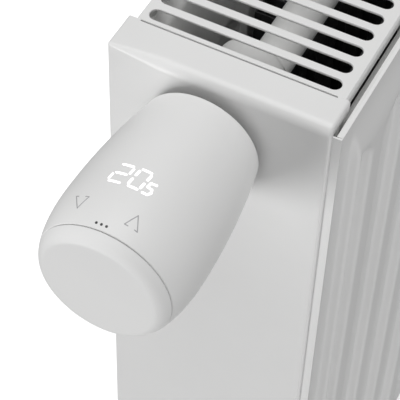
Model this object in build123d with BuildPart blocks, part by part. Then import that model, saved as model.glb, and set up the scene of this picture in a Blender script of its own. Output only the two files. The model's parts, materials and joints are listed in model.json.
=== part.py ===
from build123d import *
import os
from math import atan2, cos, degrees, radians, sin

# A double-panel, double-convector radiator with its valve and an electronic thermostat head.
# +X runs along the radiator, -Y faces the room, +Z is up. The origin is the centre of the
# four wall lugs, on the plane of the wall brackets.
os.makedirs("parts", exist_ok=True)

# Radiator body
length = 500.0
height = 400.0
body_depth = 100.0
lug_depth = 7.0
sheet = 1.2
channel_rise = 4.1
channel_pitch = 100.0 / 3
left = -length / 2
right = length / 2
top = height / 2
bottom = -height / 2
back = -lug_depth
front = back - body_depth
front_seam = front + channel_rise + sheet
rear_seam = back - channel_rise - sheet
front_inner_face = front_seam + sheet + channel_rise
rear_inner_face = rear_seam - sheet - channel_rise
panel_inset = 3.1
panel_top = top - 5
panel_bottom = bottom + 4
panel_rim = 8.0
form_margin = 2.5
side_slope = 4.2
valley_width = 25.0
way_bore = 5.5

# Side covers and grille
cover_sheet = 1.0
cover_front = front + 7.8
cover_lip_step = 2.0
cover_flange = 16.8
cover_return = 7.0
fold_radius = 4.5
edge_radius = 1.4
grille_rear = back - 3.2
grille_front = front + 9.1
slot_pitch = 9.5
slot_width = 5.8
slot_rear = back - 6.4
slot_front = front + 13.7
slot_count = 49

# Valve and pipework
valve_y = back - 42.3
valve_z = top - 29.1
pipe_y = valve_y - 5.2
pipe_radius = 8.6
pipe_bore = 6.3
tee_inset = 26.0
stem_travel = 3.0
thread_radius = 15.0
connection_spacing = 50.0
connection_radius = 13.2
fit_gap = 0.05
close_gap = 0.02
end_play = 0.1

# Thermostat head: distances are measured outwards from the left cover's face
head_start = 3.7
head_seam = 77.3
head_end = 82.7
head_widest = 57.6
head_radius = 30.0
head_base_radius = 24.3
face_radius = 22.4
shell_wall = 2.0
seam_gap = 0.3
display_angle = 95.0

# Gear train
gear_module = 0.5
drive_teeth = 48
small_teeth = 12
big_teeth = 28
motor_teeth = 10
reduction_angle = 158.0
motor_angle = 120.0


def save(builder, label):
    """Labels a finished piece and writes it as one STEP file."""
    builder.part.label = label
    export_step(builder.part, f"parts/{label}.step")


def on_left(out, y=valve_y, z=valve_z):
    """A plane across the valve's axis, `out` mm outside the left cover, facing outwards."""
    return Plane(origin=(left - out, y, z), x_dir=(0, -1, 0), z_dir=(-1, 0, 0))


def on_end(side, inside, z, y=valve_y):
    """A plane `inside` mm within the end of the given side (-1 left, 1 right), facing outwards."""
    return Plane(origin=(side * (right - inside), y, z), x_dir=(0, -1, 0), z_dir=(side, 0, 0))


def head_spot(angle, radius):
    """A spot across the valve's axis: 0 degrees is towards the room and 90 is up."""
    return radius * cos(radians(angle)), radius * sin(radians(angle))


# ---------------------------------------------------------------- water panels
def pressed_sheet(end_slope, valley_inset):
    """One pressed sheet: flat rim, raised waterways and the valleys between them.

    It lies in the XZ plane, rising towards -Y, with its mating face at Y = 0.
    """
    low, high = panel_bottom + form_margin, panel_top - form_margin
    x_low, x_high = left + panel_inset + panel_rim, right - panel_inset - panel_rim
    with BuildPart() as form:
        with BuildSketch(Plane.YZ.offset(x_low)):
            with BuildLine():
                Polyline((0, low), (-channel_rise, low + end_slope),
                         (-channel_rise, high - end_slope), (0, high), close=True)
            make_face()
        extrude(amount=x_high - x_low)
        with BuildSketch(Plane.XY.offset(low)):
            with BuildLine():
                Polyline((x_low, 0), (x_low + side_slope, -channel_rise),
                         (x_high - side_slope, -channel_rise), (x_high, 0), close=True)
            make_face()
        extrude(amount=high - low, mode=Mode.INTERSECT)
        valley_length = high - low - 2 * valley_inset
        valley_count = round(length / channel_pitch) - 1
        with BuildSketch(Plane.XZ.offset(channel_rise)):
            with GridLocations(channel_pitch, 1, valley_count, 1):
                with Locations((0, (low + high) / 2)):
                    SlotOverall(valley_length, valley_width, rotation=90)
        extrude(amount=-channel_rise, taper=44, mode=Mode.SUBTRACT)
    with BuildPart() as pressed:
        with BuildSketch(Plane.XZ):
            with Locations((0, (panel_bottom + panel_top) / 2)):
                Rectangle(length - 2 * panel_inset, panel_top - panel_bottom)
        extrude(amount=sheet)
        add(form.part.moved(Location((0, -sheet, 0))))
        add(form.part, mode=Mode.SUBTRACT)
    return pressed.part


face_sheet = pressed_sheet(end_slope=20.0, valley_inset=18.0)
back_sheet = pressed_sheet(end_slope=4.2, valley_inset=52.0)
turned_sheet = mirror(back_sheet, about=Plane.XZ)
tee_ways = [(left + tee_inset, valve_z), (left + tee_inset, -valve_z),
            (right - tee_inset, valve_z), (right - tee_inset, -valve_z)]

with BuildPart() as front_outer_sheet:
    add(face_sheet.moved(Location((0, front_seam, 0))))
save(front_outer_sheet, "front_outer_sheet")

with BuildPart() as front_inner_sheet:
    add(turned_sheet.moved(Location((0, front_seam, 0))))
    with BuildSketch(Plane.XZ.offset(-front_seam)):
        with Locations(*tee_ways):
            Circle(way_bore)
    extrude(amount=-2 * channel_rise, mode=Mode.SUBTRACT)
save(front_inner_sheet, "front_inner_sheet")

with BuildPart() as rear_inner_sheet:
    add(back_sheet.moved(Location((0, rear_seam, 0))))
    with BuildSketch(Plane.XZ.offset(-rear_seam)):
        with Locations(*tee_ways):
            Circle(way_bore)
    extrude(amount=2 * channel_rise, mode=Mode.SUBTRACT)
save(rear_inner_sheet, "rear_inner_sheet")

with BuildPart() as rear_outer_sheet:
    add(turned_sheet.moved(Location((0, rear_seam, 0))))
save(rear_outer_sheet, "rear_outer_sheet")


# ---------------------------------------------------------------- convector fins
fin_depth = 27.0
fin_sheet = 0.6
fin_height = 270.0
fin_foot = 12.0
fin_middle = -10.0


def convector(label, panel_face, away):
    """A folded fin sheet standing on the waterways of one panel; away is its Y direction."""
    folds = round(length / channel_pitch) - 2
    with BuildPart() as fins:
        with BuildSketch(Plane.XY.offset(fin_middle - fin_height / 2)):
            with Locations((0, panel_face + away * fin_sheet / 2)):
                with GridLocations(channel_pitch, 1, folds, 1):
                    Rectangle(fin_foot, fin_sheet)
            with Locations((0, panel_face + away * fin_depth / 2)):
                for leg in (-1, 1):
                    with Locations((leg * (fin_foot - fin_sheet) / 2, 0)):
                        with GridLocations(channel_pitch, 1, folds, 1):
                            Rectangle(fin_sheet, fin_depth)
            with Locations((0, panel_face + away * (fin_depth - fin_sheet / 2))):
                with GridLocations(channel_pitch, 1, folds - 1, 1):
                    Rectangle(channel_pitch - fin_foot + 2 * fin_sheet, fin_sheet)
        extrude(amount=fin_height)
    save(fins, label)


convector("front_convector", front_inner_face, 1)
convector("rear_convector", rear_inner_face, -1)

# ---------------------------------------------------------------- wall lugs
lug_sheet = 2.5
lug_width = 36.0
lug_spacing_x = 300.0
lug_spacing_z = 270.0
lug_slot_length = 24.0
lug_slot_width = 11.0
lug_height = 40.0
lug_foot = 14.0
with BuildPart() as hanging_lugs:
    with Locations(*[(x, 0, z) for x in (-lug_spacing_x / 2, lug_spacing_x / 2)
                     for z in (-lug_spacing_z / 2, lug_spacing_z / 2)]):
        Box(lug_width, lug_sheet, lug_height, align=(Align.CENTER, Align.MAX, Align.CENTER))
        for end in (-1, 1):
            with Locations((0, 0, end * (lug_height - lug_sheet) / 2)):
                Box(lug_width, lug_depth, lug_sheet, align=(Align.CENTER, Align.MAX, Align.CENTER))
            with Locations((0, lug_sheet - lug_depth, end * (lug_height / 2 + 5))):
                Box(lug_width, lug_sheet, lug_foot, align=(Align.CENTER, Align.MAX, Align.CENTER))
    with BuildSketch(Plane.XZ):
        with GridLocations(lug_spacing_x, lug_spacing_z, 2, 2):
            SlotOverall(lug_slot_length, lug_slot_width)
    extrude(amount=lug_sheet, mode=Mode.SUBTRACT)
save(hanging_lugs, "hanging_lugs")


# ---------------------------------------------------------------- side covers
neck_hole = 19.0
plug_hole = 17.0
slit_width = 1.6


def side_cover(label, side, holes):
    """A folded cover over one end, with a lip at the front and a flange over the grille's end."""
    end_x = side * right
    inwards = -side
    cover_bottom = bottom + 1
    with BuildPart() as cover:
        with BuildSketch(Plane.XY.offset(cover_bottom)):
            with BuildLine():
                outside = [(0, back), (0, cover_front), (cover_lip_step, cover_front),
                           (cover_lip_step, front_seam - sheet)]
                inside = [(cover_lip_step + cover_sheet, front_seam - sheet),
                          (cover_lip_step + cover_sheet, cover_front + cover_sheet),
                          (cover_sheet, cover_front + cover_sheet),
                          (cover_sheet, back - cover_sheet),
                          (cover_return, back - cover_sheet), (cover_return, back)]
                Polyline(*[(end_x + inwards * x, y) for x, y in outside + inside], close=True)
            make_face()
        extrude(amount=top - cover_bottom)
        with Locations((end_x + inwards * cover_flange / 2, (back + cover_front) / 2, top)):
            Box(cover_flange, back - cover_front, cover_sheet,
                align=(Align.CENTER, Align.CENTER, Align.MAX))
        inner_corner = (end_x + inwards * cover_sheet, (back + cover_front) / 2, top - cover_sheet)
        fillet(cover.edges().filter_by(Axis.Y).sort_by_distance(inner_corner)[0:1],
               fold_radius - cover_sheet)
        outer = cover.edges().filter_by_position(Axis.X, end_x, end_x)
        fillet(outer.filter_by(Axis.Y).sort_by(Axis.Z)[-1:], fold_radius)
        fillet(cover.edges().filter_by(Axis.Z).sort_by_distance((end_x, back, 0))[0:1],
               edge_radius)
        fillet(cover.edges().filter_by(Axis.Z).sort_by_distance((end_x, cover_front, 0))[0:1],
               edge_radius)
        for z, radius in holes:
            with BuildSketch(on_end(side, 0, z)):
                Circle(radius)
            extrude(amount=-4 * cover_sheet, mode=Mode.SUBTRACT)
        slit_length = slot_rear - slot_front + 2
        with Locations((end_x + inwards * cover_flange, (slot_rear + slot_front) / 2, top)):
            Box(slit_width, slit_length, 4 * cover_sheet, mode=Mode.SUBTRACT)
    save(cover, label)


side_cover("left_side_cover", -1, [(valve_z, neck_hole), (-valve_z, plug_hole)])
side_cover("right_side_cover", 1, [(valve_z, plug_hole), (-valve_z, plug_hole)])

clip_height = 14.0
clip_reach = 8.0
clip_wall = 3.0
clip_web = 5.0
clip_level = 110.0
with BuildPart() as cover_clips:
    for side in (-1, 1):
        for z in (-clip_level, clip_level):
            with Locations((side * (right - cover_sheet - clip_reach / 2), 0, z)):
                with Locations((0, cover_front + cover_sheet + clip_wall / 2, 0),
                               (0, rear_seam - sheet - clip_wall / 2, 0)):
                    Box(clip_reach, clip_wall, clip_height)
            with Locations((side * (right - cover_sheet - clip_reach + clip_web / 2), 0, z)):
                with Locations((0, (front_seam + cover_front + sheet + cover_sheet) / 2, 0)):
                    Box(clip_web, cover_front + cover_sheet - front_seam - sheet, clip_height)
save(cover_clips, "cover_clips")

# ---------------------------------------------------------------- top grille
grille_skirt = 5.0
grille_fold = 1.3
with BuildPart() as top_grille:
    grille_length = length - 2 * cover_flange
    grille_middle = (grille_rear + grille_front) / 2
    with Locations((0, grille_middle, top)):
        Box(grille_length, grille_rear - grille_front, grille_skirt,
            align=(Align.CENTER, Align.CENTER, Align.MAX))
    long_top = top_grille.edges().filter_by(Axis.X).group_by(Axis.Z)[-1]
    fillet(long_top, grille_fold)
    with Locations((0, grille_middle, top - cover_sheet)):
        Box(grille_length, grille_rear - grille_front - 2 * cover_sheet, grille_skirt,
            align=(Align.CENTER, Align.CENTER, Align.MAX), mode=Mode.SUBTRACT)
    with BuildSketch(Plane.XY.offset(top)):
        with Locations((0, (slot_rear + slot_front) / 2)):
            with GridLocations(slot_pitch, 1, slot_count, 1):
                SlotOverall(slot_rear - slot_front, slot_width, rotation=90)
    extrude(amount=-2 * cover_sheet, mode=Mode.SUBTRACT)
save(top_grille, "top_grille")

clip_sheet = 0.8
clip_width = 16.0
clip_drop = 18.0
clip_gap = 0.1
with BuildPart() as grille_clips:
    for x in (-170, -57, 57, 170):
        for skirt, panel, away in ((grille_rear - cover_sheet, rear_inner_face - clip_gap, -1),
                                   (grille_front + cover_sheet, front_inner_face + clip_gap, 1)):
            reach = abs(panel - skirt) + clip_sheet
            with Locations((x, skirt + away * reach / 2, top - cover_sheet)):
                Box(clip_width, reach, clip_sheet, align=(Align.CENTER, Align.CENTER, Align.MAX))
            with Locations((x, panel + away * clip_sheet / 2, top - cover_sheet)):
                Box(clip_width, clip_sheet, clip_drop,
                    align=(Align.CENTER, Align.CENTER, Align.MAX))
save(grille_clips, "grille_clips")

# ---------------------------------------------------------------- valve housing and pipework
housing_radius = 14.5
housing_start = 7.0
seat_inside = 33.0
housing_end = 42.0
tee_way_radius = 7.5
insert_socket = 10.0
seat_wall = 2.0
seat_bore = 5.0
pipe_socket = 4.0
housing_round = 3.0
panel_gap = rear_inner_face - front_inner_face
tee_middle = (rear_inner_face + front_inner_face) / 2


def cross_tube(inside, side, z):
    """The tube that joins the two panels, and its bore, as sketch planes along Y."""
    return Plane(origin=(side * (right - inside), rear_inner_face, z), x_dir=(1, 0, 0),
                 z_dir=(0, -1, 0))


with BuildPart() as valve_housing:
    with BuildSketch(on_left(-housing_start)):
        Circle(housing_radius)
    extrude(amount=-(housing_end - housing_start))
    with BuildSketch(cross_tube(tee_inset, -1, valve_z)):
        Circle(tee_way_radius)
    extrude(amount=panel_gap)
    fillet(valve_housing.edges().filter_by(GeomType.CIRCLE).sort_by(Axis.X)[-1:],
           housing_round)
    with BuildSketch(on_left(-housing_start)):
        Circle(insert_socket)
    extrude(amount=-(seat_inside - housing_start), mode=Mode.SUBTRACT)
    with BuildSketch(on_left(-seat_inside - seat_wall)):
        Circle(insert_socket)
    extrude(amount=-2 * seat_wall, mode=Mode.SUBTRACT)
    with BuildSketch(on_left(-seat_inside + seat_wall)):
        Circle(seat_bore)
    extrude(amount=-3 * seat_wall, mode=Mode.SUBTRACT)
    with BuildSketch(on_left(-housing_end, y=pipe_y)):
        Circle(pipe_bore)
    extrude(amount=pipe_socket, mode=Mode.SUBTRACT)
    with BuildSketch(cross_tube(tee_inset, -1, valve_z)):
        Circle(way_bore)
    extrude(amount=panel_gap, mode=Mode.SUBTRACT)
save(valve_housing, "valve_housing")

tee_start = 8.0
tee_end = 36.0
tee_radius = 14.0
tee_wall = 3.0
plugged_tees = [(-1, -valve_z), (1, valve_z), (1, -valve_z)]
with BuildPart() as corner_tees:
    for side, z in plugged_tees:
        with BuildSketch(on_end(side, tee_start, z)):
            Circle(tee_radius)
        extrude(amount=tee_start - tee_end)
        with BuildSketch(cross_tube(tee_inset, side, z)):
            Circle(tee_way_radius)
        extrude(amount=panel_gap)
    for side, z in plugged_tees:
        with BuildSketch(on_end(side, tee_start, z)):
            Circle(insert_socket)
        extrude(amount=tee_start - tee_end + tee_wall, mode=Mode.SUBTRACT)
        with BuildSketch(cross_tube(tee_inset, side, z)):
            Circle(way_bore)
        extrude(amount=panel_gap, mode=Mode.SUBTRACT)
    with BuildSketch(on_end(1, tee_end, -valve_z, y=pipe_y)):
        Circle(pipe_bore)
    extrude(amount=pipe_socket, mode=Mode.SUBTRACT)
save(corner_tees, "corner_tees")

pipe_bend = 40.0
pipe_start = bottom + 20


def bent_pipe(label, start_x, end_x, level):
    """A steel pipe that rises from a bottom connection and turns along the radiator."""
    along = 1 if end_x > start_x else -1
    with BuildPart() as pipe:
        with BuildLine() as route:
            FilletPolyline((start_x, pipe_y, pipe_start), (start_x, pipe_y, level),
                           (end_x, pipe_y, level), radius=pipe_bend)
        with BuildSketch(Plane(origin=(start_x, pipe_y, pipe_start), z_dir=(0, 0, 1))):
            Circle(pipe_radius)
            Circle(pipe_bore, mode=Mode.SUBTRACT)
        sweep(path=route.line)
    save(pipe, label)


bent_pipe("supply_pipe", -connection_spacing / 2, left + housing_end, valve_z)
return_level = pipe_start + pipe_bend + 6
return_bend = 28.0
with BuildPart() as return_pipe:
    with BuildLine() as return_route:
        FilletPolyline((connection_spacing / 2, pipe_y, pipe_start),
                       (connection_spacing / 2, pipe_y, return_level),
                       (right - 120, pipe_y, return_level),
                       (right - 80, pipe_y, -valve_z),
                       (right - tee_end, pipe_y, -valve_z), radius=return_bend)
    with BuildSketch(Plane(origin=(connection_spacing / 2, pipe_y, pipe_start), z_dir=(0, 0, 1))):
        Circle(pipe_radius)
        Circle(pipe_bore, mode=Mode.SUBTRACT)
    sweep(path=return_route.line)
save(return_pipe, "return_pipe")

pin_length = 11.0
collar_radius = 15.5
nipple_length = 20.0
bridge_sheet = 3.0
bridge_length = 96.0
nipple_spots = [(x, pipe_y, bottom) for x in (-connection_spacing / 2, connection_spacing / 2)]
with BuildPart() as connection_nipples:
    with Locations(*nipple_spots):
        Cylinder(connection_radius, pin_length, align=(Align.CENTER, Align.CENTER, Align.MIN))
        with Locations((0, 0, pin_length)):
            Cylinder(collar_radius, nipple_length - pin_length,
                     align=(Align.CENTER, Align.CENTER, Align.MIN))
        Cylinder(pipe_bore, nipple_length, align=(Align.CENTER, Align.CENTER, Align.MIN),
                 mode=Mode.SUBTRACT)
save(connection_nipples, "connection_nipples")

with BuildPart() as connection_bridge:
    with Locations((0, tee_middle, bottom + pin_length)):
        Box(bridge_length, panel_gap, bridge_sheet, align=(Align.CENTER, Align.CENTER, Align.MIN))
    with Locations(*[(x, y, bottom + pin_length) for x, y, z in nipple_spots]):
        Cylinder(collar_radius + close_gap, bridge_sheet,
                 align=(Align.CENTER, Align.CENTER, Align.MIN), mode=Mode.SUBTRACT)
save(connection_bridge, "connection_bridge")

# ---------------------------------------------------------------- plugs and vent
plug_radius = insert_socket - fit_gap
plug_length = 9.0
plug_hex = 15.0
plug_head = 5.0
seal_inside = 9.2
seal_width = 1.6
seal_root = 8.4


def hex_plug(side, z):
    """A hexagon plug for one corner tee, with a groove for its seal."""
    with BuildPart() as plug:
        with BuildSketch(on_end(side, tee_start, z)):
            RegularPolygon(plug_hex, 6)
        extrude(amount=plug_head)
        with BuildSketch(on_end(side, tee_start, z)):
            Circle(plug_radius)
        extrude(amount=-plug_length)
        with BuildSketch(on_end(side, seal_inside, z)):
            Circle(plug_radius + 1)
            Circle(seal_root, mode=Mode.SUBTRACT)
        extrude(amount=-seal_width - 2 * end_play, mode=Mode.SUBTRACT)
    return plug.part


lower_plugs = [hex_plug(side, -valve_z) for side in (-1, 1)]
upper_plug = hex_plug(1, valve_z)
with BuildPart() as blind_plugs:
    add(lower_plugs)
save(blind_plugs, "blind_plugs")

with BuildPart() as plug_seals:
    for side, z in plugged_tees:
        with BuildSketch(on_end(side, seal_inside + end_play, z)):
            Circle(plug_radius)
            Circle(seal_root + close_gap, mode=Mode.SUBTRACT)
        extrude(amount=-seal_width)
save(plug_seals, "plug_seals")

vent_bore = 3.0
vent_pocket = 5.0
vent_face = 3.0
vent_seat = 5.8
with BuildPart() as vent_plug:
    add(upper_plug)
    with BuildSketch(on_end(1, vent_face, valve_z)):
        Circle(vent_bore)
    extrude(amount=-14, mode=Mode.SUBTRACT)
    with BuildSketch(on_end(1, vent_face, valve_z)):
        Circle(vent_pocket)
    extrude(amount=-3, mode=Mode.SUBTRACT)
save(vent_plug, "vent_plug")

with BuildPart() as vent_screw:
    with BuildSketch(on_end(1, vent_seat, valve_z)):
        Circle(vent_bore - fit_gap)
    extrude(amount=-9)
    with BuildSketch(on_end(1, vent_seat, valve_z)):
        Circle(vent_pocket - 0.4)
    extrude(amount=1.8)
    with BuildSketch(on_end(1, 4, valve_z)):
        Rectangle(5, 5)
    extrude(amount=5)
save(vent_screw, "vent_screw")

# ---------------------------------------------------------------- valve insert
neck_end = 9.5
stem_radius = 1.5
stem_bore = stem_radius + fit_gap
insert_flange = 3.0
insert_hex = 17.0
insert_shoulder = 6.8
chamber_radius = 4.5
chamber_end = -22.0
chamber_start = 4.0
ring_pocket = 7.0
ring_radius = 10.9
stem_rest = 13.5
seal_pocket_radius = 2.8
seal_pocket_depth = 1.6
with BuildPart() as valve_insert:
    with BuildSketch(on_left(-insert_flange)):
        Circle(thread_radius)
    extrude(amount=neck_end + insert_flange)
    with BuildSketch(on_left(-insert_shoulder)):
        RegularPolygon(insert_hex, 6)
    extrude(amount=insert_shoulder - insert_flange)
    with BuildSketch(on_left(chamber_end)):
        Circle(insert_socket - fit_gap)
    extrude(amount=-chamber_end - insert_shoulder)
    with BuildSketch(on_left(ring_pocket)):
        Circle(ring_radius + 0.1)
    extrude(amount=neck_end, mode=Mode.SUBTRACT)
    with BuildSketch(on_left(chamber_end)):
        Circle(chamber_radius)
    extrude(amount=chamber_start - chamber_end, mode=Mode.SUBTRACT)
    with BuildSketch(on_left(0)):
        Circle(stem_bore)
    extrude(amount=ring_pocket, mode=Mode.SUBTRACT)
    with BuildSketch(on_left(ring_pocket - seal_pocket_depth)):
        Circle(seal_pocket_radius)
    extrude(amount=seal_pocket_depth, mode=Mode.SUBTRACT)
save(valve_insert, "valve_insert")

with BuildPart() as stem_seal:
    with BuildSketch(on_left(ring_pocket - seal_pocket_depth + end_play)):
        Circle(seal_pocket_radius - close_gap)
        Circle(stem_bore, mode=Mode.SUBTRACT)
    extrude(amount=seal_pocket_depth - 2 * end_play)
save(stem_seal, "stem_seal")

ring_notches = 8
notch_radius = 1.1
ring_thickness = 2.2
with BuildPart() as preset_ring:
    with BuildSketch(on_left(ring_pocket + end_play)):
        Circle(ring_radius)
        Circle(5.5, mode=Mode.SUBTRACT)
        with PolarLocations(ring_radius, ring_notches, start_angle=180 / ring_notches):
            Circle(notch_radius, mode=Mode.SUBTRACT)
    extrude(amount=ring_thickness)
save(preset_ring, "preset_ring")

collar_out = -2.0
collar_thickness = 1.5
disc_thickness = 3.0
disc_radius = 7.0
plate_thickness = 1.2
disc_outside = -(seat_inside - stem_travel - disc_thickness)
with BuildPart() as valve_stem:
    with BuildSketch(on_left(disc_outside - collar_thickness)):
        Circle(stem_radius)
    extrude(amount=stem_rest - disc_outside + collar_thickness)
    with BuildSketch(on_left(collar_out - collar_thickness)):
        Circle(chamber_radius - 0.5)
    extrude(amount=collar_thickness)
    with BuildSketch(on_left(disc_outside)):
        Circle(disc_radius - 1.5)
    extrude(amount=plate_thickness)
save(valve_stem, "valve_stem")

with BuildPart() as valve_disc:
    with BuildSketch(on_left(disc_outside - close_gap)):
        Circle(disc_radius)
    extrude(amount=-disc_thickness + close_gap + end_play)
    with BuildSketch(on_left(disc_outside)):
        Circle(stem_radius + close_gap)
    extrude(amount=-collar_thickness - end_play, mode=Mode.SUBTRACT)
save(valve_disc, "valve_disc")

guide_length = 3.0
with BuildPart() as stem_guide:
    with BuildSketch(on_left(chamber_end)):
        Circle(chamber_radius - close_gap)
        Circle(stem_bore, mode=Mode.SUBTRACT)
    extrude(amount=guide_length)
save(stem_guide, "stem_guide")

spring_wire = 0.4
spring_mean = 3.0
spring_start = collar_out - collar_thickness - spring_wire - fit_gap
spring_room = spring_start - (chamber_end + guide_length)
spring_length = spring_room - spring_wire - stem_travel - end_play
spring_turns = 7
with BuildPart() as valve_spring:
    spring_base = Plane(origin=(left - spring_start, valve_y, valve_z), z_dir=(1, 0, 0))
    coil = spring_base.location * Helix(spring_length / spring_turns, spring_length, spring_mean)
    with BuildSketch(Plane(origin=coil @ 0, z_dir=coil % 0)):
        Circle(spring_wire)
    sweep(path=coil, is_frenet=True)
save(valve_spring, "valve_spring")

# ---------------------------------------------------------------- thermostat head: fastening
nut_radius = 18.4
nut_start = 1.0
nut_end = 12.8
lip_start = 11.2
lip_bore = 11.8
grip_count = 30
grip_radius = 0.9
grip_offset = 0.35
with BuildPart() as union_nut:
    with BuildSketch(on_left(nut_start)):
        Circle(nut_radius)
        with PolarLocations(nut_radius + grip_offset, grip_count):
            Circle(grip_radius, mode=Mode.SUBTRACT)
    extrude(amount=nut_end - nut_start)
    with BuildSketch(on_left(nut_start)):
        Circle(thread_radius + fit_gap)
    extrude(amount=lip_start - nut_start, mode=Mode.SUBTRACT)
    with BuildSketch(on_left(nut_start)):
        Circle(lip_bore)
    extrude(amount=nut_end, mode=Mode.SUBTRACT)
save(union_nut, "union_nut")

base_wall_start = 14.5
base_wall = 2.5
plunger_radius = 4.5
base_radius = head_base_radius - shell_wall - 0.15
base_step = 0.9
nut_clearance = 0.6
hub_radius = 14.2
hub_gap = 0.2
hub_neck_gap = 0.3
axle_radius = 1.0
axle_seat = 1.0
screw_circle = 19.5
axle_spot = head_spot(reduction_angle, gear_module * (drive_teeth + small_teeth) / 2)
screw_spots = [head_spot(angle, screw_circle) for angle in (60, 200, 345)]
with BuildPart() as mounting_base:
    with BuildSketch(on_left(head_start)):
        Circle(base_radius)
        Circle(nut_radius + nut_clearance, mode=Mode.SUBTRACT)
    extrude(amount=base_wall_start - head_start)
    with BuildSketch(on_left(base_wall_start)):
        Circle(base_radius + base_step)
    extrude(amount=base_wall)
    with BuildSketch(on_left(neck_end + hub_gap)):
        Circle(hub_radius)
    extrude(amount=lip_start - neck_end - hub_gap - hub_neck_gap)
    with BuildSketch(on_left(lip_start - 0.5)):
        Circle(lip_bore - hub_neck_gap)
    extrude(amount=base_wall_start - lip_start + 1)
    with BuildSketch(on_left(neck_end)):
        Circle(plunger_radius + fit_gap)
    extrude(amount=base_wall_start, mode=Mode.SUBTRACT)
    with BuildSketch(on_left(base_wall_start + axle_seat)):
        with Locations(axle_spot):
            Circle(axle_radius + close_gap)
    extrude(amount=base_wall, mode=Mode.SUBTRACT)
save(mounting_base, "mounting_base")


# ---------------------------------------------------------------- thermostat head: casing
def head_outline(inset):
    """The head's half section, `inset` mm inside its surface, on the plane of out and radius."""
    shoulder = (head_widest, head_radius - inset)
    base_point = (head_start, head_base_radius - inset)
    with BuildLine() as outline:
        EllipticalCenterArc((head_widest, face_radius - inset), head_end - inset - head_widest,
                            head_radius - face_radius, arc_size=90)
        TangentArc(shoulder, base_point, tangent=(-1, 0))
        Polyline(base_point, (head_start, 0), (head_end - inset, 0),
                 (head_end - inset, face_radius - inset))
    return outline.line


half_section = Plane(origin=(left, valve_y, valve_z), x_dir=(-1, 0, 0), z_dir=(0, 1, 0))
head_axis = Axis((left, valve_y, valve_z), (-1, 0, 0))
with BuildPart() as casing:
    with BuildSketch(half_section):
        add(head_outline(0))
        make_face()
    revolve(axis=head_axis)
    with BuildSketch(half_section):
        add(head_outline(shell_wall))
        make_face()
    revolve(axis=head_axis, mode=Mode.SUBTRACT)

shell_foot = 0.9
with BuildPart() as head_shell:
    add(casing.part)
    split(bisect_by=Plane(origin=(left - head_seam + seam_gap / 2, 0, 0), z_dir=(1, 0, 0)))
    fillet(head_shell.edges().filter_by(GeomType.CIRCLE).sort_by(Axis.X)[-2:].sort_by(
        SortBy.RADIUS)[-1:], shell_foot)
save(head_shell, "head_shell")

cap_skirt_radius = 24.0
cap_skirt_start = 72.0
cap_skirt_wall = 1.2
with BuildPart() as end_cap:
    add(casing.part)
    split(bisect_by=Plane(origin=(left - head_seam - seam_gap / 2, 0, 0), z_dir=(-1, 0, 0)))
    with BuildSketch(on_left(cap_skirt_start)):
        Circle(cap_skirt_radius)
        Circle(cap_skirt_radius - cap_skirt_wall, mode=Mode.SUBTRACT)
    extrude(until=Until.NEXT, target=end_cap.part)
save(end_cap, "end_cap")

# ---------------------------------------------------------------- thermostat head: gear train
gear_start = 17.6
gear_end = 20.8
wheel_start = 21.4
wheel_end = 24.2
plate_start = 25.4
plate_end = 27.4
big_radius = gear_module * big_teeth / 2
motor_reach = gear_module * (big_teeth + motor_teeth) / 2
motor_spot = head_spot(motor_angle, 14.0)
addendum = 0.75
dedendum = 1.15
root_half = 0.30
tip_half = 0.13


def toothed(teeth, phase):
    """Points round a spur gear whose first tooth points at `phase` degrees."""
    root = gear_module * (teeth / 2 - dedendum)
    tip = gear_module * (teeth / 2 + addendum)
    step = 360 / teeth
    corners = []
    for tooth in range(teeth):
        middle = phase + tooth * step
        corners += [head_spot(middle + share * step, radius) for share, radius in
                    ((-root_half, root), (-tip_half, tip), (tip_half, tip), (root_half, root))]
    return corners


def facing(spot, other):
    """The direction in degrees from one shaft centre to another."""
    return degrees(atan2(other[1] - spot[1], other[0] - spot[0]))


drive_to_axle = facing((0, 0), axle_spot)
axle_to_motor = facing(axle_spot, motor_spot)
plunger_shaft = 3.0
with BuildPart() as drive_gear:
    with BuildSketch(on_left(gear_start)):
        Polygon(*toothed(drive_teeth, drive_to_axle), align=None)
    extrude(amount=gear_end - gear_start)
    with BuildSketch(on_left(gear_end)):
        Circle(5.5)
    extrude(amount=wheel_end - gear_end)
    with BuildSketch(on_left(gear_start)):
        Circle(plunger_shaft + fit_gap)
    extrude(amount=plate_start, mode=Mode.SUBTRACT)
save(drive_gear, "drive_gear")

with BuildPart() as reduction_gear:
    with BuildSketch(on_left(gear_start)):
        with Locations(axle_spot):
            Polygon(*toothed(small_teeth, drive_to_axle + 180 + 180 / small_teeth), align=None)
    extrude(amount=wheel_start - gear_start)
    with BuildSketch(on_left(wheel_start)):
        with Locations(axle_spot):
            Polygon(*toothed(big_teeth, axle_to_motor), align=None)
    extrude(amount=wheel_end - wheel_start)
    with BuildSketch(on_left(gear_start)):
        with Locations(axle_spot):
            Circle(axle_radius + fit_gap)
    extrude(amount=plate_start, mode=Mode.SUBTRACT)
save(reduction_gear, "reduction_gear")

with BuildPart() as gear_axle:
    with BuildSketch(on_left(base_wall_start + axle_seat + end_play)):
        with Locations(axle_spot):
            Circle(axle_radius)
    extrude(amount=plate_end - base_wall_start - axle_seat - 5 * end_play)
save(gear_axle, "gear_axle")

shaft_radius = 0.75
shaft_depth = 6.0
motor_radius = 6.0
motor_length = 18.0
motor_start = plate_end + end_play
with BuildPart() as motor_pinion:
    with BuildSketch(on_left(wheel_start)):
        with Locations(motor_spot):
            Polygon(*toothed(motor_teeth, axle_to_motor + 180 + 180 / motor_teeth), align=None)
            Circle(shaft_radius, mode=Mode.SUBTRACT)
    extrude(amount=wheel_end - wheel_start)
save(motor_pinion, "motor_pinion")

with BuildPart() as motor_shaft:
    with BuildSketch(on_left(wheel_start)):
        with Locations(motor_spot):
            Circle(shaft_radius)
    extrude(amount=motor_start + shaft_depth - wheel_start)
save(motor_shaft, "motor_shaft")

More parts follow.
